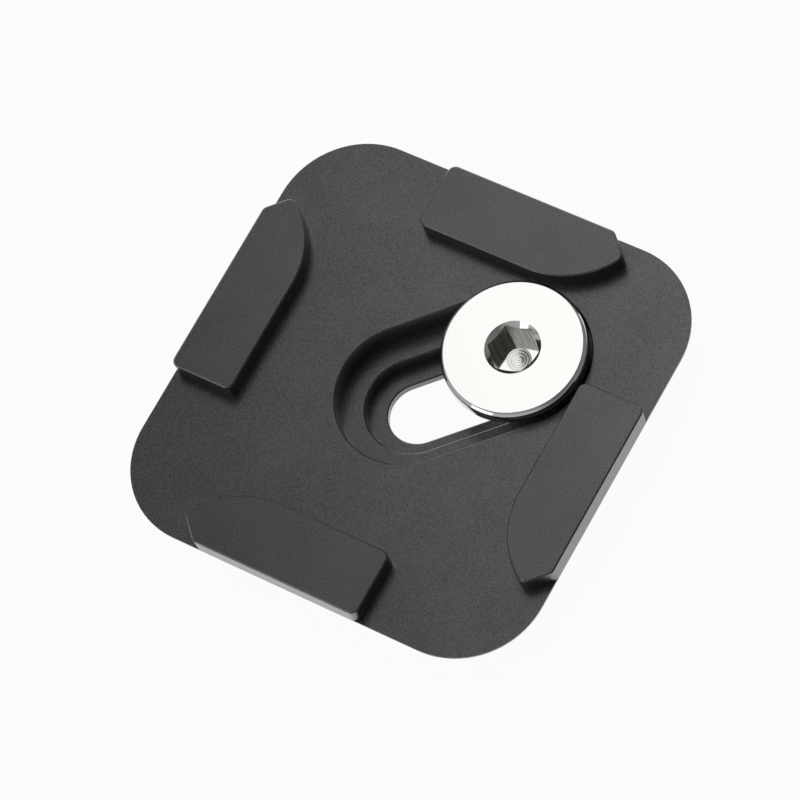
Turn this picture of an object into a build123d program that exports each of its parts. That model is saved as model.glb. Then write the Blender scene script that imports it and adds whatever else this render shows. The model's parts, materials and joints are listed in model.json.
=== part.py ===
"""Tripod quick release plate: a milled plate with a stepped diagonal slot, and its camera screw.

The plate lies with its camera face down on z = 0, its clamp side up and its centre on the Z axis.
The slot runs from the centre towards the +X +Y corner. The screw stands in the far end of the slot
with its tip on z = 0, so its head is lifted out of its seat. All sizes are in millimetres.
"""

from build123d import *

import os
from math import cos, radians, sin, sqrt, tan

# Plate body: a neck at the camera side, a dovetail flank and a rim
plate_side = 50.0
plate_corner_radius = 9.7
plate_thickness = 6.2
rim_land = 0.25
flank_height = 3.0
flank_angle = 45.0
camera_edge_chamfer = 0.3

# Pads on the clamp side, one along each edge
pad_height = 2.2
pad_width = 7.7
pad_square_end = 8.25
pad_tip_end = 14.5
pad_tip_inset = 2.4
pad_sweep_radius = 10.2
pad_corner_radius = 0.9
pad_edge_chamfer = 0.15
pad_count = 4

# Stepped slot along the diagonal
slot_travel = 12.2
slot_angle = 45.0
slot_edge_chamfer = 0.12
slot_edge_angle = 45.0
head_seat_depth = 3.1
head_clearance = 0.2
boss_clearance = 0.2
boss_float = 0.1
thread_clearance = 0.325

# Camera screw with a quarter inch thread
head_diameter = 15.9
head_thickness = 1.8
head_chamfer = 0.35
boss_diameter = 10.7
boss_height = 2.0
thread_diameter = 6.35
thread_reach = 3.5
tip_chamfer = 0.7

# Hex socket in the screw's head
hex_across_flats = 5.0
hex_corner_radius = 0.25
hex_depth = 3.3
hex_mouth_diameter = 6.16
hex_mouth_angle = 90.0
hex_turn = 16.0
floor_dish_diameter = 2.8
floor_dish_angle = 168.0

# Places in the plate that follow from those sizes
half_side = plate_side / 2
flank_run = flank_height / tan(radians(flank_angle))
neck_side = plate_side - 2 * flank_run
neck_corner_radius = plate_corner_radius - flank_run
neck_height = plate_thickness - rim_land - flank_height
rim_z = neck_height + flank_height
head_seat_z = plate_thickness - head_seat_depth
boss_seat_z = head_seat_z - boss_height - boss_float
pad_top_z = plate_thickness + pad_height

# Steps of the slot: the height of its mouth, the height of its floor, and its width
slot_steps = (
    (plate_thickness, head_seat_z, head_diameter + 2 * head_clearance),
    (head_seat_z, boss_seat_z, boss_diameter + 2 * boss_clearance),
    (boss_seat_z, 0, thread_diameter + 2 * thread_clearance),
)
slot_plane = Plane.XY.rotated((0, 0, slot_angle))
slot_middle = (slot_travel / 2, 0)
slot_edge_depth = slot_edge_chamfer / tan(radians(slot_edge_angle))

# Places on the screw, from its tip on z = 0 upwards
boss_z = head_seat_z - boss_height + thread_reach
head_z = boss_z + boss_height
face_z = head_z + head_thickness
screw_x = slot_travel * cos(radians(slot_angle))
screw_y = slot_travel * sin(radians(slot_angle))

# Plan of one pad along the +Y edge: square at its left end, swept round to a tip at its right end
pad_inner_y = half_side - pad_width
sweep_drop = pad_width - pad_tip_inset
sweep_run = sqrt(2 * pad_sweep_radius * sweep_drop - sweep_drop**2)
sweep_start = (pad_tip_end - sweep_run, pad_inner_y)
pad_tip = (pad_tip_end, half_side - pad_tip_inset)

with BuildSketch() as pad_plan:
    with BuildLine():
        TangentArc(sweep_start, pad_tip, tangent=(1, 0))
        Polyline(
            pad_tip,
            (pad_tip_end - pad_tip_inset, half_side),
            (-pad_square_end, half_side),
            (-pad_square_end, pad_inner_y),
            sweep_start,
        )
    make_face()
    sharp_corners = pad_plan.vertices().sort_by_distance(sweep_start)[1:]
    fillet(sharp_corners, radius=pad_corner_radius)

# Milled plate
with BuildPart() as base_plate:
    with BuildSketch():
        RectangleRounded(neck_side, neck_side, neck_corner_radius)
    extrude(amount=neck_height)
    camera_face = base_plate.faces().sort_by(Axis.Z)[0]
    chamfer(camera_face.edges(), length=camera_edge_chamfer)

    # The flank widens from the neck to the rim all the way round, corners included
    with BuildSketch(Plane.XY.offset(neck_height)):
        RectangleRounded(neck_side, neck_side, neck_corner_radius)
    with BuildSketch(Plane.XY.offset(rim_z)):
        RectangleRounded(plate_side, plate_side, plate_corner_radius)
    loft(ruled=True)

    with BuildSketch(Plane.XY.offset(rim_z)):
        RectangleRounded(plate_side, plate_side, plate_corner_radius)
    extrude(amount=rim_land)

    # Pads flush with the rim, each a quarter turn from the last
    with BuildSketch(Plane.XY.offset(plate_thickness)):
        with PolarLocations(0, pad_count):
            add(pad_plan.sketch)
    extrude(amount=pad_height)
    pad_tops = base_plate.faces().group_by(Axis.Z)[-1]
    chamfer(pad_tops.edges(), length=pad_edge_chamfer)

    # Seats for the head and the boss and the slot for the thread, each with a broken edge at its mouth
    for mouth_z, floor_z, width in slot_steps:
        with BuildSketch(slot_plane.offset(floor_z)):
            with Locations(slot_middle):
                SlotCenterToCenter(slot_travel, width)
        extrude(amount=pad_top_z - floor_z, mode=Mode.SUBTRACT)
        with BuildSketch(slot_plane.offset(mouth_z)):
            with Locations(slot_middle):
                SlotCenterToCenter(slot_travel, width + 2 * slot_edge_chamfer)
        extrude(amount=-slot_edge_depth, taper=slot_edge_angle, mode=Mode.SUBTRACT)

# Camera screw, turned in one piece
screw_axis = Axis((screw_x, screw_y, 0), (0, 0, 1))
section_plane = Plane((screw_x, screw_y, 0), x_dir=(1, 0, 0), z_dir=(0, -1, 0))
face_plane = Plane((screw_x, screw_y, face_z))
head_radius = head_diameter / 2
boss_radius = boss_diameter / 2
thread_radius = thread_diameter / 2
hex_radius = hex_across_flats / 2
mouth_radius = hex_mouth_diameter / 2
mouth_depth = (mouth_radius - hex_radius) / tan(radians(hex_mouth_angle / 2))
hex_floor_z = face_z - hex_depth
dish_radius = floor_dish_diameter / 2
dish_depth = dish_radius / tan(radians(floor_dish_angle / 2))

with BuildPart() as camera_screw:
    with BuildSketch(section_plane):
        with BuildLine():
            Polyline(
                (0, 0),
                (thread_radius - tip_chamfer, 0),
                (thread_radius, tip_chamfer),
                (thread_radius, boss_z),
                (boss_radius, boss_z),
                (boss_radius, head_z),
                (head_radius, head_z),
                (head_radius, face_z - head_chamfer),
                (head_radius - head_chamfer, face_z),
                (0, face_z),
                close=True,
            )
        make_face()
    revolve(axis=screw_axis)

    # Hex socket with a countersunk mouth and a shallow turned dish in its floor
    with BuildSketch(face_plane) as hex_plan:
        RegularPolygon(hex_radius, side_count=6, major_radius=False, rotation=hex_turn)
        fillet(hex_plan.vertices(), radius=hex_corner_radius)
    extrude(amount=-hex_depth, mode=Mode.SUBTRACT)
    with BuildSketch(section_plane):
        with BuildLine():
            Polyline(
                (0, face_z),
                (mouth_radius, face_z),
                (hex_radius, face_z - mouth_depth),
                (0, face_z - mouth_depth),
                close=True,
            )
        make_face()
    revolve(axis=screw_axis, mode=Mode.SUBTRACT)
    with BuildSketch(section_plane):
        with BuildLine():
            Polyline(
                (0, hex_floor_z),
                (dish_radius, hex_floor_z),
                (0, hex_floor_z - dish_depth),
                close=True,
            )
        make_face()
    revolve(axis=screw_axis, mode=Mode.SUBTRACT)

os.makedirs("parts", exist_ok=True)
base_plate.part.label = "base_plate"
export_step(base_plate.part, "parts/base_plate.step")
camera_screw.part.label = "camera_screw"
export_step(camera_screw.part, "parts/camera_screw.step")
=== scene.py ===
"""Finish and studio for a tripod quick release plate and its camera screw.

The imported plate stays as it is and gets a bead-blasted, black anodised finish. The screw is
modelled anew, with its rolled thread and the tool marks in its hex socket, in the place of the
packed one. Lengths are in metres, and MM turns millimetres into them.
"""

import json
from math import cos, pi, radians, sin, tan

import bmesh
import bpy
from bpy.props import FloatProperty, FloatVectorProperty, PointerProperty, StringProperty
from mathutils import Euler, Matrix, Vector


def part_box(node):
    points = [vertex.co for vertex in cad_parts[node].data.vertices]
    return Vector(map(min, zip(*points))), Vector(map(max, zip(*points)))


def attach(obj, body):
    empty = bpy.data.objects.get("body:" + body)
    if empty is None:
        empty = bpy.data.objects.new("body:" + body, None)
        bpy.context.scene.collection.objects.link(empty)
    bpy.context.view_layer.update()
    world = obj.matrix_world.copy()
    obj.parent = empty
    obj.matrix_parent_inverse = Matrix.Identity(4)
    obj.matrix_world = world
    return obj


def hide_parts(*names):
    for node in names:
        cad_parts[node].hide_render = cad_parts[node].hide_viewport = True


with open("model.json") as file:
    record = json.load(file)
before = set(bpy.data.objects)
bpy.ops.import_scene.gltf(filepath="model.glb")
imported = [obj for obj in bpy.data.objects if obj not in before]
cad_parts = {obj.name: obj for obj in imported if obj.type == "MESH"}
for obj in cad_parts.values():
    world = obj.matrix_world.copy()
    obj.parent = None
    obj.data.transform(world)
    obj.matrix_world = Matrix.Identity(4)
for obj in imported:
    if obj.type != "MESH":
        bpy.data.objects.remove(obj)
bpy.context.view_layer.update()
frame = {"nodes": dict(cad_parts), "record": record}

bl_info = {
    "name": "Tripod quick release plate",
    "version": (1, 0, 0),
    "blender": (4, 5, 0),
    "location": "View3D > Sidebar > Release plate",
    "description": "Finishes the plate, models its camera screw and sets up a white studio",
    "category": "Object",
}

MM = 0.001
SCREW_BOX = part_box("camera_screw")
MOUNTS = {mount["name"]: mount for mount in frame["record"]["mounts"]}
SCREW_AXIS = Vector(MOUNTS["camera_thread"]["pos_m"])
UP = Vector((0, 0, 1))

# Anodised layer: aluminium oxide under a clear seal
OXIDE_IOR = 1.76
SEAL_IOR = 1.58
SEAL_ROUGHNESS = 0.3

# Patterns: how far the patches shift the grain, and where grain and streaks turn dull and bright
PATCH_WEIGHT = 0.2
DULL_GRAIN, BRIGHT_GRAIN = 0.4, 0.8
DULL_STREAK, BRIGHT_STREAK = 0.35, 0.65
STREAK_STRETCH = 20
RING_WOBBLE = 0.4

# Form of a unified thread: its depth and the flat on its crest as shares of the pitch
THREAD_DEPTH = 0.6134
CREST_FLAT = 1 / 8
FLANK_ANGLE = radians(30)

# Fineness of the turned shapes, the broken edges and the hex's corners. A cone that cuts the blank
# has corners clear of the blank's own, so that the cut leaves no slivers
TURN_STEPS = 160
CONE_STEPS = 159
THREAD_STEPS = 96
RING_STEPS = 8
EDGE_STEPS = 2
CORNER_STEPS = 6

# Modelling: how far a tool runs past the metal, which points and faces are too small to keep, and
# the turns that count as a sharp edge and as a straight one
SPARE = 0.3 * MM
MERGE = 0.001 * MM
SLIVER = 0.0005 * MM
SHARP = radians(30)
STRAIGHT = radians(10)

# Material slots of the screw, in their order
POLISHED, BROACHED, DRILLED = range(3)

# Sockets of a colour Mix node: its factor, its two colours and its result
FACTOR, FIRST, SECOND, MIXED = 0, 6, 7, 2

# Studio
WHITE = "#ffffff"
PAPER = "#f4f4f2"
SENSOR_WIDTH = 36.0
HAZE_POWER = 1.5


def length(name, description, millimetres):
    """A length that the panel shows, given in millimetres."""
    return FloatProperty(
        name=name, description=description, default=millimetres * MM, unit="LENGTH", precision=5
    )


def angle(name, description, degrees):
    """An angle that the panel shows, given in degrees."""
    return FloatProperty(
        name=name, description=description, default=radians(degrees), unit="ROTATION"
    )


def share(name, description, value):
    """A number from 0 to 1 that the panel shows."""
    return FloatProperty(
        name=name, description=description, default=value, min=0, max=1, subtype="FACTOR"
    )


def brightness(name, description, value):
    """A brightness that the panel shows, where 1 is white."""
    return FloatProperty(name=name, description=description, default=value, min=0)


def swatch(name, description, code):
    """A colour that the panel shows, as an sRGB hex value."""
    return StringProperty(name=name, description=description, default=code)


class PlateFinish(bpy.types.PropertyGroup):
    """Finish of the milled plate"""

    dye: swatch("Dye", "Colour of the anodised layer", "#090908")
    speck: swatch("Speck", "Colour of the paler grains of the blasted layer", "#2a2a28")
    dull_grain: swatch("Dull grain", "Tint of the sheen on the dullest grains", "#6e6e68")
    bright_grain: swatch("Bright grain", "Tint of the sheen on the brightest grains", "#fffff6")
    grain: length("Grain", "Width of a dimple left by the blasting beads", 0.15)
    dimple: length("Dimple", "Depth of such a dimple", 0.03)
    patch: length("Patch", "Size of the patches where the dye is uneven", 7.0)
    roughness: share("Roughness", "Roughness of the blasted face", 0.33)
    sheen: share("Sheen", "Weight of the clear sealed layer on top", 1.0)


class ScrewSizes(bpy.types.PropertyGroup):
    """Sizes and finish of the camera screw"""

    head_thickness: length("Head thickness", "Thickness of the head with its chamfer", 1.8)
    head_chamfer: length("Head chamfer", "Chamfer round the head's face", 0.35)
    edge_break: length("Edge break", "Rounding of the turned edges", 0.04)
    boss_diameter: length("Boss diameter", "Diameter of the boss under the head", 10.7)
    boss_height: length("Boss height", "Height of the boss under the head", 2.0)
    pitch: length("Pitch", "Pitch of the thread, 20 to the inch", 1.27)
    tip_chamfer: length("Tip chamfer", "Chamfer at the thread's tip", 0.7)
    hex_flats: length("Hex", "Width across the flats of the socket", 5.0)
    hex_corner: length("Hex corner", "Radius of the socket's corners", 0.25)
    hex_turn: angle("Hex turn", "Turn of a hex corner from the X axis", 16)
    mouth_diameter: length("Mouth", "Diameter of the socket's countersunk mouth", 6.16)
    mouth_angle: angle("Mouth angle", "Full angle of the countersink", 90)
    dish_diameter: length("Dish", "Diameter of the dish in the socket's floor", 2.8)
    dish_angle: angle("Dish angle", "Full angle of the dish", 168)
    dish_middle: length("Dish middle", "Diameter of the dish's smooth middle", 1.0)
    ring: length("Ring", "Spacing of the turned rings in the dish", 0.3)
    ring_depth: length("Ring depth", "Depth of those rings", 0.01)
    pip: length("Pip", "Width and depth of the pip at the dish's centre", 0.14)
    steel: swatch("Steel", "Colour of the polished steel", "#d2d2d0")
    roughness: share("Roughness", "Roughness of the polished steel", 0.08)
    groove: length("Groove", "Spacing of the turning marks", 0.11)
    groove_depth: length("Groove depth", "Depth of the turning marks", 0.0003)
    dull_ring: swatch("Dull ring", "Colour of the dull rings in the dish", "#b4b4af")
    dish_roughness: share("Dish roughness", "Roughness of the dish", 0.2)
    wall: swatch("Socket wall", "Colour of the steel that the broach left", "#eaeae1")
    scuff: swatch("Scuff", "Colour of the dull streaks on that steel", "#a0a096")
    wall_roughness: share("Wall roughness", "Roughness of that steel", 0.32)
    streak: length("Streak", "Width of a streak that the broach left", 0.25)
    streak_depth: length("Streak depth", "Depth of such a streak", 0.004)


class StudioSettings(bpy.types.PropertyGroup):
    """Camera, lamps and floor"""

    azimuth: angle("Azimuth", "Turn of the camera round the plate", 56.022)
    elevation: angle("Elevation", "Height of the camera above the horizon", 62.280)
    roll: angle("Roll", "Turn of the camera about its own axis", -29.09)
    distance: length("Distance", "Distance of the camera from its aim", 490.75)
    aim: FloatVectorProperty(
        name="Aim",
        description="Point at the middle of the picture",
        default=(-0.497 * MM, -1.021 * MM, 6.2 * MM),
        subtype="TRANSLATION",
    )
    lens: FloatProperty(
        name="Lens", description="Focal length on a 36 mm sensor", default=208.0, unit="CAMERA"
    )
    overhead_level: brightness("Overhead box", "Brightness of the soft box above", 1.4)
    front_level: brightness("Front box", "Brightness of the soft box in front", 1.37)
    left_level: brightness("Left card", "Brightness of the white card on the left", 0.8)
    top_level: brightness("Top card", "Brightness of the small white card straight above", 1.1)
    horizon_level: brightness("Horizon", "Brightness of the room low down", 1.0)
    ceiling_level: brightness("Ceiling", "Brightness of the room straight above", 0.08)
    foot_share: share("Foot", "Brightness of the room's foot, as a share of the rest", 0.3)
    foot_height: angle("Foot height", "Height at which the room's foot has faded out", 17.5)
    dark_share: share("Dark side", "Brightness of the dark side, as a share of the rest", 0.4)
    dark_azimuth: angle("Dark azimuth", "Turn of the dark side round the plate", 115)
    dark_elevation: angle("Dark elevation", "Height of the dark side above the horizon", 15)
    dark_core: angle("Dark core", "Half angle of its darkest part", 40)
    dark_reach: angle("Dark reach", "Half angle at which it has faded out", 75)
    floor_side: length("Floor", "Side of the white floor", 4000)
    floor_glow: share("Floor glow", "How far the floor is white without any light", 0.95)


def linear(code):
    """Linear RGBA of an sRGB hex colour."""
    channels = [int(code[i : i + 2], 16) / 255 for i in (1, 3, 5)]
    return [c / 12.92 if c <= 0.04045 else ((c + 0.055) / 1.055) ** 2.4 for c in channels] + [1.0]


def heading(azimuth, elevation):
    """The direction towards a place round the plate, with azimuth 0 on the -Y side."""
    level = cos(elevation)
    return Vector((sin(azimuth) * level, -cos(azimuth) * level, sin(elevation)))


def add_node(tree, kind, inputs, **settings):
    """Adds a node with its settings, and gives its inputs values or links from other sockets."""
    node = tree.nodes.new(kind)
    for name, value in settings.items():
        setattr(node, name, value)
    for name, value in inputs.items():
        if isinstance(value, bpy.types.NodeSocket):
            tree.links.new(value, node.inputs[name])
        else:
            node.inputs[name].default_value = value
    return node


def new_material(name):
    """An empty node material, and its tree."""
    material = bpy.data.materials.new(name)
    material.use_nodes = True
    material.node_tree.nodes.clear()
    return material, material.node_tree


def blasted_anodised_aluminium(finish):
    """Bead-blasted aluminium, anodised and dyed black."""
    # The eye gets a dark warm grey with a fine even grain, a soft sheen that grows towards grazing
    # views, and no mirror image. The real dimples are finer than a pixel, so these are coarser
    material, tree = new_material("blasted_black_anodised_aluminium")
    place = add_node(tree, "ShaderNodeTexCoord", {}).outputs["Object"]
    grains = add_node(
        tree,
        "ShaderNodeTexNoise",
        {"Vector": place, "Scale": 1 / finish.grain, "Detail": 2.0, "Roughness": 0.6},
    ).outputs["Fac"]
    patches = add_node(
        tree, "ShaderNodeTexNoise", {"Vector": place, "Scale": 1 / finish.patch, "Detail": 3.0}
    )
    tone = add_node(
        tree,
        "ShaderNodeMath",
        {0: patches.outputs["Fac"], 1: PATCH_WEIGHT, 2: grains},
        operation="MULTIPLY_ADD",
    )
    contrast = add_node(
        tree,
        "ShaderNodeMapRange",
        {"Value": tone.outputs[0], "From Min": DULL_GRAIN, "From Max": BRIGHT_GRAIN},
    ).outputs[0]
    colour = add_node(
        tree,
        "ShaderNodeMix",
        {FACTOR: contrast, FIRST: linear(finish.dye), SECOND: linear(finish.speck)},
        data_type="RGBA",
    )
    glint = add_node(
        tree,
        "ShaderNodeMix",
        {FACTOR: contrast, FIRST: linear(finish.dull_grain), SECOND: linear(finish.bright_grain)},
        data_type="RGBA",
    )
    bump = add_node(
        tree, "ShaderNodeBump", {"Strength": 1.0, "Distance": finish.dimple, "Height": grains}
    )
    shader = add_node(
        tree,
        "ShaderNodeBsdfPrincipled",
        {
            "Base Color": colour.outputs[MIXED],
            "Roughness": finish.roughness,
            "IOR": OXIDE_IOR,
            "Specular Tint": glint.outputs[MIXED],
            "Coat Weight": finish.sheen,
            "Coat IOR": SEAL_IOR,
            "Coat Roughness": SEAL_ROUGHNESS,
            "Normal": bump.outputs["Normal"],
        },
    )
    add_node(tree, "ShaderNodeOutputMaterial", {"Surface": shader.outputs["BSDF"]})
    return material


def turning_marks(tree, spacing):
    """A pattern of rings round the screw's axis."""
    place = add_node(tree, "ShaderNodeTexCoord", {}).outputs["Object"]
    centred = add_node(
        tree,
        "ShaderNodeMapping",
        {"Vector": place, "Location": (-SCREW_AXIS.x, -SCREW_AXIS.y, 0)},
    )
    # A ring texture of scale 1 repeats every 2 pi / 20 of a unit
    scale = 2 * pi / 20 / spacing
    rings = add_node(
        tree,
        "ShaderNodeTexWave",
        {"Vector": centred.outputs["Vector"], "Scale": scale, "Distortion": RING_WOBBLE},
        wave_type="RINGS",
        rings_direction="Z",
    )
    return rings.outputs["Fac"]


def polished_turned_steel(sizes):
    """Stainless steel, turned and polished."""
    # The eye gets a bright neutral mirror, a little soft, with very fine rings round the axis
    material, tree = new_material("polished_turned_stainless_steel")
    marks = turning_marks(tree, sizes.groove)
    bump = add_node(
        tree,
        "ShaderNodeBump",
        {"Strength": 1.0, "Distance": sizes.groove_depth, "Height": marks},
    )
    shader = add_node(
        tree,
        "ShaderNodeBsdfPrincipled",
        {
            "Base Color": linear(sizes.steel),
            "Metallic": 1.0,
            "Roughness": sizes.roughness,
            "Normal": bump.outputs["Normal"],
        },
    )
    add_node(tree, "ShaderNodeOutputMaterial", {"Surface": shader.outputs["BSDF"]})
    return material


def broached_steel(sizes):
    """Stainless steel as a broach leaves it."""
    # The eye gets a duller mirror than the turned face, with streaks down the socket's walls
    material, tree = new_material("broached_stainless_steel")
    place = add_node(tree, "ShaderNodeTexCoord", {}).outputs["Object"]
    drawn_out = add_node(
        tree, "ShaderNodeMapping", {"Vector": place, "Scale": (1, 1, 1 / STREAK_STRETCH)}
    )
    streaks = add_node(
        tree,
        "ShaderNodeTexNoise",
        {"Vector": drawn_out.outputs["Vector"], "Scale": 1 / sizes.streak, "Detail": 2.0},
    ).outputs["Fac"]
    contrast = add_node(
        tree,
        "ShaderNodeMapRange",
        {"Value": streaks, "From Min": DULL_STREAK, "From Max": BRIGHT_STREAK},
    ).outputs[0]
    colour = add_node(
        tree,
        "ShaderNodeMix",
        {FACTOR: contrast, FIRST: linear(sizes.scuff), SECOND: linear(sizes.wall)},
        data_type="RGBA",
    )
    bump = add_node(
        tree,
        "ShaderNodeBump",
        {"Strength": 1.0, "Distance": sizes.streak_depth, "Height": streaks},
    )
    shader = add_node(
        tree,
        "ShaderNodeBsdfPrincipled",
        {
            "Base Color": colour.outputs[MIXED],
            "Metallic": 1.0,
            "Roughness": sizes.wall_roughness,
            "Normal": bump.outputs["Normal"],
        },
    )
    add_node(tree, "ShaderNodeOutputMaterial", {"Surface": shader.outputs["BSDF"]})
    return material


def drilled_steel(sizes):
    """Stainless steel as a flat drill leaves it."""
    # The eye gets a satin metal with dull rings, which blurs the lamps to soft bright sectors
    material, tree = new_material("drilled_stainless_steel")
    marks = turning_marks(tree, sizes.ring)
    colour = add_node(
        tree,
        "ShaderNodeMix",
        {FACTOR: marks, FIRST: linear(sizes.dull_ring), SECOND: linear(sizes.steel)},
        data_type="RGBA",
    )
    bump = add_node(
        tree,
        "ShaderNodeBump",
        {"Strength": 1.0, "Distance": sizes.groove_depth, "Height": marks},
    )
    shader = add_node(
        tree,
        "ShaderNodeBsdfPrincipled",
        {
            "Base Color": colour.outputs[MIXED],
            "Metallic": 1.0,
            "Roughness": sizes.dish_roughness,
            "Normal": bump.outputs["Normal"],
        },
    )
    add_node(tree, "ShaderNodeOutputMaterial", {"Surface": shader.outputs["BSDF"]})
    return material


def white_paper(glow):
    """Matt white paper."""
    # The eye, and the metal, get plain white with a faint soft shadow round the plate
    material, tree = new_material("matt_white_paper")
    path = add_node(tree, "ShaderNodeLightPath", {})
    seen = add_node(
        tree,
        "ShaderNodeMath",
        {0: path.outputs["Is Camera Ray"], 1: path.outputs["Is Glossy Ray"]},
        operation="MAXIMUM",
    )
    seen = add_node(
        tree,
        "ShaderNodeMath",
        {0: seen.outputs[0], 1: path.outputs["Is Transmission Ray"]},
        operation="MAXIMUM",
    )
    part = add_node(tree, "ShaderNodeMath", {0: seen.outputs[0], 1: glow}, operation="MULTIPLY")
    paper = add_node(tree, "ShaderNodeBsdfDiffuse", {"Color": linear(PAPER)})
    white = add_node(tree, "ShaderNodeEmission", {"Color": linear(WHITE), "Strength": 1.0})
    mix = add_node(
        tree,
        "ShaderNodeMixShader",
        {0: part.outputs[0], 1: paper.outputs[0], 2: white.outputs[0]},
    )
    add_node(tree, "ShaderNodeOutputMaterial", {"Surface": mix.outputs[0]})
    return material


def put_in_order(elements, key):
    """Sorts the vertices, edges or faces of a mesh."""
    for index, element in enumerate(sorted(elements, key=key)):
        element.index = index
    elements.sort()


def settle(bm):
    """Gives a mesh the same order each run, which merging, bevels and joins don't."""
    put_in_order(bm.verts, lambda vert: vert.co[:])
    for face in bm.faces[:]:
        corners, material = face.verts[:], face.material_index
        first = corners.index(min(corners, key=lambda vert: vert.index))
        bm.faces.remove(face)
        # A face that a join made twice is kept once
        if not bm.faces.get(corners):
            bm.faces.new(corners[first:] + corners[:first]).material_index = material
    put_in_order(bm.edges, lambda edge: sorted(vert.index for vert in edge.verts))
    put_in_order(bm.faces, lambda face: [vert.index for vert in face.verts])
    # Read back from a plain mesh, it also forgets the order in which its edges were made
    mesh = bpy.data.meshes.new("settled")
    bm.to_mesh(mesh)
    bm.clear()
    bm.from_mesh(mesh)
    bpy.data.meshes.remove(mesh)


def draw_profile(bm, profile):
    """Draws a line through (radius, height) points beside the screw's axis."""
    places = [(SCREW_AXIS.x + radius, SCREW_AXIS.y, height) for radius, height in profile]
    verts = [bm.verts.new(place) for place in places]
    for ends in zip(verts, verts[1:]):
        bm.edges.new(ends)
    return verts


def round_off(bm, geom, width, segments, affect):
    """Rounds the given corners of a line, or edges of a mesh."""
    bmesh.ops.bevel(
        bm,
        geom=geom,
        offset=width,
        offset_type="OFFSET",
        segments=segments,
        profile=0.5,
        affect=affect,
        material=-1,
    )


def turned(profile, steps=TURN_STEPS, edge_break=0):
    """A closed body turned about the screw's axis from a profile that starts and ends on it."""
    bm = bmesh.new()
    corners = draw_profile(bm, profile)[1:-1]
    if edge_break:
        # Rounded before it is turned, because a bevel round a ring differs a little each run
        round_off(bm, corners, edge_break, EDGE_STEPS, "VERTICES")
    bmesh.ops.spin(
        bm,
        geom=bm.verts[:] + bm.edges[:],
        cent=SCREW_AXIS,
        axis=UP,
        angle=2 * pi,
        steps=steps,
        use_merge=True,
    )
    bmesh.ops.remove_doubles(bm, verts=bm.verts, dist=MERGE)
    bmesh.ops.recalc_face_normals(bm, faces=bm.faces)
    settle(bm)
    return bm


def countersink(low_radius, high_radius, low, high):
    """A cone on the screw's axis between two heights."""
    profile = [(0, low), (low_radius, low), (high_radius, high), (0, high)]
    return turned(profile, steps=CONE_STEPS)


def hex_broach(flat_radius, corner, low, high, turn):
    """A hex prism with rounded corners, whose sides leave broached steel."""
    bm = bmesh.new()
    height = high - low
    middle = Vector((SCREW_AXIS.x, SCREW_AXIS.y, (low + high) / 2))
    corner_radius = flat_radius / cos(pi / 6)
    # The prism starts with a corner on the Y axis, a quarter turn from the X axis
    bmesh.ops.create_cone(
        bm,
        cap_ends=True,
        segments=6,
        radius1=corner_radius,
        radius2=corner_radius,
        depth=height,
        matrix=Matrix.Translation(middle) @ Matrix.Rotation(turn - pi / 2, 4, "Z"),
    )
    upright = [
        edge
        for edge in bm.edges
        if abs(edge.verts[0].co.z - edge.verts[1].co.z) > height / 2
    ]
    round_off(bm, upright, corner * tan(pi / 6), CORNER_STEPS, "EDGES")
    bmesh.ops.recalc_face_normals(bm, faces=bm.faces)
    settle(bm)
    for face in bm.faces:
        if round(face.normal.z) == 0:
            face.material_index = BROACHED
    return bm


def turned_dish(sizes, floor, top):
    """The dish in the socket's floor, with a pip in its flat middle and rings round that."""
    radius = sizes.dish_diameter / 2
    middle = sizes.dish_middle / 2
    slope = 1 / tan(sizes.dish_angle / 2)
    bottom = floor - (radius - middle) * slope
    pip = sizes.pip / 2
    profile = [(0, bottom - sizes.pip), (pip, bottom - sizes.pip), (pip, bottom)]
    steps = RING_STEPS * round((radius - middle) / sizes.ring)
    for step in range(steps + 1):
        run = (radius - middle) * step / steps
        wave = sizes.ring_depth / 2 * sin(2 * pi * step / RING_STEPS)
        profile.append((middle + run, bottom + run * slope + wave))
    bm = turned(profile + [(radius, top), (0, top)])
    for face in bm.faces:
        face.material_index = DRILLED
    return bm


def rolled_thread(root, crest, pitch, low, high):
    """A closed rod with a rolled thread between two heights."""
    rise = (crest - root) * tan(FLANK_ANGLE)
    root_flat = pitch - CREST_FLAT * pitch - 2 * rise
    outline = [
        (root, 0),
        (root, root_flat),
        (crest, root_flat + rise),
        (crest, pitch - rise),
        (root, pitch),
    ]
    # It starts and ends a turn or so outside the two heights, and is cut off there
    start = low - pitch * 1.5
    turns = int((high - low) / pitch) + 3
    bm = bmesh.new()
    draw_profile(bm, [(radius, start + height) for radius, height in outline])
    bmesh.ops.spin(
        bm,
        geom=bm.verts[:] + bm.edges[:],
        cent=SCREW_AXIS,
        axis=UP,
        dvec=UP * (pitch / THREAD_STEPS),
        angle=2 * pi * turns,
        steps=THREAD_STEPS * turns,
    )
    bmesh.ops.remove_doubles(bm, verts=bm.verts, dist=MERGE)
    for height, normal in ((low, -UP), (high, UP)):
        bmesh.ops.bisect_plane(
            bm,
            geom=bm.verts[:] + bm.edges[:] + bm.faces[:],
            plane_co=Vector((0, 0, height)),
            plane_no=normal,
            clear_outer=True,
        )
    bmesh.ops.holes_fill(bm, edges=[edge for edge in bm.edges if edge.is_boundary])
    bmesh.ops.recalc_face_normals(bm, faces=bm.faces)
    settle(bm)
    return bm


def new_object(name, bm):
    """An object at the origin with the given mesh."""
    mesh = bpy.data.meshes.new(name)
    bm.to_mesh(mesh)
    bm.free()
    piece = bpy.data.objects.new(name, mesh)
    bpy.context.scene.collection.objects.link(piece)
    return piece


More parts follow.
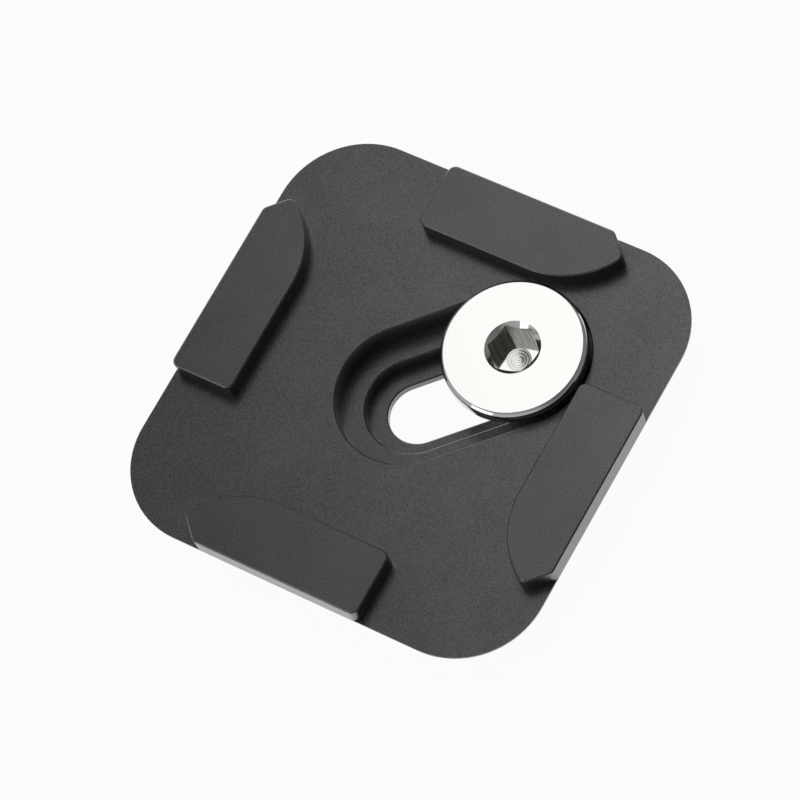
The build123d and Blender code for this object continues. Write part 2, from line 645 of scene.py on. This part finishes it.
def join(piece, bm, operation):
    """Adds a closed mesh to a piece, takes it away or keeps what both share."""
    tool = new_object("tool", bm)
    modifier = piece.modifiers.new("join", "BOOLEAN")
    modifier.object = tool
    modifier.operation = operation
    modifier.solver = "EXACT"
    depsgraph = bpy.context.evaluated_depsgraph_get()
    result = bpy.data.meshes.new_from_object(piece.evaluated_get(depsgraph))
    result.name = piece.name
    joined = bmesh.new()
    joined.from_mesh(result)
    settle(joined)
    joined.to_mesh(result)
    joined.free()
    piece.modifiers.clear()
    piece.data = result
    bpy.data.objects.remove(tool)


def clean(piece):
    """Closes the slivers and the pinholes that the joins leave in a piece."""
    bm = bmesh.new()
    bm.from_mesh(piece.data)
    bmesh.ops.remove_doubles(bm, verts=bm.verts, dist=MERGE)
    bmesh.ops.dissolve_degenerate(bm, edges=bm.edges, dist=SLIVER)
    bmesh.ops.holes_fill(bm, edges=[edge for edge in bm.edges if edge.is_boundary])
    # Two faces that share a nearly straight run of edges would overlap once they are triangles
    straight = [vert for vert in bm.verts if vert.calc_edge_angle(pi) < STRAIGHT]
    bmesh.ops.dissolve_verts(bm, verts=straight)
    bmesh.ops.recalc_face_normals(bm, faces=bm.faces)
    settle(bm)
    bm.to_mesh(piece.data)
    bm.free()


class FinishPlate(bpy.types.Operator):
    """Gives the milled plate its anodised finish"""

    bl_idname = "release_plate.finish_plate"
    bl_label = "Finish the plate"

    def execute(self, context):
        material = blasted_anodised_aluminium(context.scene.release_plate_finish)
        for slot in frame["nodes"]["base_plate"].material_slots:
            slot.material = material
        return {"FINISHED"}


class MakeScrew(bpy.types.Operator):
    """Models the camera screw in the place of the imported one"""

    bl_idname = "release_plate.make_screw"
    bl_label = "Make the camera screw"

    def execute(self, context):
        sizes = context.scene.release_plate_screw
        face = SCREW_BOX[1].z
        under_head = face - sizes.head_thickness
        under_boss = under_head - sizes.boss_height

        screw = new_object("camera_screw_steel", self.blank(sizes, face, under_head, under_boss))
        for steel in (polished_turned_steel, broached_steel, drilled_steel):
            screw.data.materials.append(steel(sizes))
        join(screw, self.thread(sizes, under_boss), "UNION")

        # The socket: a hex, its countersunk mouth and the dish in its floor
        floor = face - MOUNTS["hex_drive"]["dims"]["length_mm"] * MM
        top = face + SPARE
        flat_radius = sizes.hex_flats / 2
        mouth_radius = sizes.mouth_diameter / 2
        mouth_slope = tan(sizes.mouth_angle / 2)
        mouth_low = face - (mouth_radius - flat_radius) / mouth_slope
        mouth_top_radius = mouth_radius + SPARE * mouth_slope
        for cutter in (
            hex_broach(flat_radius, sizes.hex_corner, floor, top, sizes.hex_turn),
            countersink(flat_radius, mouth_top_radius, mouth_low, top),
            turned_dish(sizes, floor, floor + SPARE),
        ):
            join(screw, cutter, "DIFFERENCE")
        clean(screw)

        screw.data.polygons.foreach_set("use_smooth", [True] * len(screw.data.polygons))
        screw.data.set_sharp_from_angle(angle=SHARP)
        shading = screw.modifiers.new("flat_faces_stay_flat", "WEIGHTED_NORMAL")
        shading.keep_sharp = True
        shading.weight = 100
        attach(screw, "screw")
        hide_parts("camera_screw")
        return {"FINISHED"}

    def blank(self, sizes, face, under_head, under_boss):
        """The turned head and boss, with their edges broken."""
        head_radius = (SCREW_BOX[1].x - SCREW_BOX[0].x) / 2
        boss_radius = sizes.boss_diameter / 2
        return turned(
            [
                (0, under_boss),
                (boss_radius, under_boss),
                (boss_radius, under_head),
                (head_radius, under_head),
                (head_radius, face - sizes.head_chamfer),
                (head_radius - sizes.head_chamfer, face),
                (0, face),
            ],
            edge_break=sizes.edge_break,
        )

    def thread(self, sizes, under_boss):
        """The rolled thread, trimmed to a chamfered tip, with its root in the boss."""
        tip = SCREW_BOX[0].z
        crest = MOUNTS["camera_thread"]["dims"]["r_mm"] * MM
        root = crest - THREAD_DEPTH * sizes.pitch
        rod = new_object(
            "thread", rolled_thread(root, crest, sizes.pitch, tip - SPARE, under_boss + SPARE)
        )
        envelope = turned(
            [
                (0, tip),
                (crest - sizes.tip_chamfer, tip),
                (crest + SPARE, tip + sizes.tip_chamfer + SPARE),
                (crest + SPARE, under_boss + SPARE / 2),
                (0, under_boss + SPARE / 2),
            ]
        )
        join(rod, envelope, "INTERSECT")
        bm = bmesh.new()
        bm.from_mesh(rod.data)
        bpy.data.objects.remove(rod)
        return bm


class SetStudio(bpy.types.Operator):
    """Sets up the camera, the lamps, the white room and the floor"""

    bl_idname = "release_plate.set_studio"
    bl_label = "Set up the studio"

    def execute(self, context):
        scene = context.scene
        studio = scene.release_plate_studio
        scene.view_settings.view_transform = "Standard"
        self.add_camera(scene, studio)
        self.add_lamps(scene, studio)
        self.add_world(scene, studio)
        self.add_floor(studio)
        return {"FINISHED"}

    def add_camera(self, scene, studio):
        """Looks at the aim from the given side, turned about the line of sight."""
        back = heading(studio.azimuth, studio.elevation)
        camera = bpy.data.objects.new("camera", bpy.data.cameras.new("camera"))
        camera.data.lens = studio.lens
        camera.data.sensor_width = SENSOR_WIDTH
        turn = back.to_track_quat("Z", "Y").to_matrix() @ Matrix.Rotation(studio.roll, 3, "Z")
        place = Vector(studio.aim) + back * studio.distance
        camera.matrix_world = Matrix.Translation(place) @ turn.to_4x4()
        scene.collection.objects.link(camera)
        scene.camera = camera

    def add_lamps(self, scene, studio):
        """Soft boxes and cards, which light the plate and which its metal mirrors."""
        # Each has a middle in mm, a tilt from facing down and a turn in degrees, a width and a
        # height in mm, and a brightness
        boxes = (
            ("overhead_box", (-212, 302, 600), 0, 45.5, 270, 600, studio.overhead_level),
            ("front_box", (-196, -637, 210), 72.5, -17.1, 300, 200, studio.front_level),
            ("left_card", (-100, -290, 600), 0, 29.8, 240, 240, studio.left_level),
            ("top_card", (20, 20, 600), 0, 0, 120, 120, studio.top_level),
        )
        for name, middle, tilt, turn, width, height, level in boxes:
            lamp = bpy.data.lights.new(name, "AREA")
            lamp.shape = "RECTANGLE"
            lamp.size = width * MM
            lamp.size_y = height * MM
            # The face of an area lamp is as bright as its power over pi times its area
            lamp.energy = level * pi * lamp.size * lamp.size_y
            box = bpy.data.objects.new(name, lamp)
            facing = Euler((radians(tilt), 0, radians(turn))).to_matrix().to_4x4()
            box.matrix_world = Matrix.Translation(Vector(middle) * MM) @ facing
            box.visible_camera = False
            scene.collection.objects.link(box)

    def add_world(self, scene, studio):
        """A pale room, brightest low down, with a dark foot and one dark side."""
        world = bpy.data.worlds.new("pale_room")
        world.use_nodes = True
        tree = world.node_tree
        tree.nodes.clear()
        direction = add_node(tree, "ShaderNodeTexCoord", {}).outputs["Generated"]
        height = add_node(tree, "ShaderNodeSeparateXYZ", {"Vector": direction}).outputs["Z"]
        lowness = add_node(
            tree, "ShaderNodeMapRange", {"Value": height, "To Min": 1.0, "To Max": 0.0}
        )
        haze = add_node(
            tree, "ShaderNodeMath", {0: lowness.outputs[0], 1: HAZE_POWER}, operation="POWER"
        )
        rise = studio.horizon_level - studio.ceiling_level
        plain = add_node(
            tree,
            "ShaderNodeMath",
            {0: haze.outputs[0], 1: rise, 2: studio.ceiling_level},
            operation="MULTIPLY_ADD",
        )
        foot = add_node(
            tree,
            "ShaderNodeMapRange",
            {"Value": height, "From Max": sin(studio.foot_height), "To Min": studio.foot_share},
            interpolation_type="SMOOTHSTEP",
        )
        lit = add_node(
            tree,
            "ShaderNodeMath",
            {0: plain.outputs[0], 1: foot.outputs[0]},
            operation="MULTIPLY",
        )
        dark_side = heading(studio.dark_azimuth, studio.dark_elevation)
        nearness = add_node(
            tree, "ShaderNodeVectorMath", {0: direction, 1: dark_side}, operation="DOT_PRODUCT"
        )
        kept = add_node(
            tree,
            "ShaderNodeMapRange",
            {
                "Value": nearness.outputs["Value"],
                "From Min": cos(studio.dark_reach),
                "From Max": cos(studio.dark_core),
                "To Min": 1.0,
                "To Max": studio.dark_share,
            },
            interpolation_type="SMOOTHSTEP",
        )
        level = add_node(
            tree, "ShaderNodeMath", {0: lit.outputs[0], 1: kept.outputs[0]}, operation="MULTIPLY"
        )
        room = add_node(
            tree, "ShaderNodeBackground", {"Color": linear(WHITE), "Strength": level.outputs[0]}
        )
        add_node(tree, "ShaderNodeOutputWorld", {"Surface": room.outputs[0]})
        scene.world = world

    def add_floor(self, studio):
        """A sheet of white paper that the plate lies on."""
        bm = bmesh.new()
        bmesh.ops.create_grid(bm, x_segments=1, y_segments=1, size=studio.floor_side / 2)
        floor = new_object("floor", bm)
        floor.data.materials.append(white_paper(studio.floor_glow))


class ReleasePlatePanel(bpy.types.Panel):
    """Lists the pieces of the quick release plate"""

    bl_idname = "VIEW3D_PT_release_plate"
    bl_label = "Quick release plate"
    bl_space_type = "VIEW_3D"
    bl_region_type = "UI"
    bl_category = "Release plate"

    def draw(self, context):
        groups = (
            (FinishPlate, context.scene.release_plate_finish),
            (MakeScrew, context.scene.release_plate_screw),
            (SetStudio, context.scene.release_plate_studio),
        )
        for operator, settings in groups:
            box = self.layout.box()
            box.operator(operator.bl_idname)
            for name in settings.__annotations__:
                box.prop(settings, name)


CLASSES = (
    PlateFinish,
    ScrewSizes,
    StudioSettings,
    FinishPlate,
    MakeScrew,
    SetStudio,
    ReleasePlatePanel,
)


def register():
    for cls in CLASSES:
        bpy.utils.register_class(cls)
    bpy.types.Scene.release_plate_finish = PointerProperty(type=PlateFinish)
    bpy.types.Scene.release_plate_screw = PointerProperty(type=ScrewSizes)
    bpy.types.Scene.release_plate_studio = PointerProperty(type=StudioSettings)


def unregister():
    del bpy.types.Scene.release_plate_studio
    del bpy.types.Scene.release_plate_screw
    del bpy.types.Scene.release_plate_finish
    for cls in reversed(CLASSES):
        bpy.utils.unregister_class(cls)


def main():
    register()
    bpy.ops.release_plate.finish_plate()
    bpy.ops.release_plate.make_screw()
    bpy.ops.release_plate.set_studio()


if __name__ == "__main__":
    main()
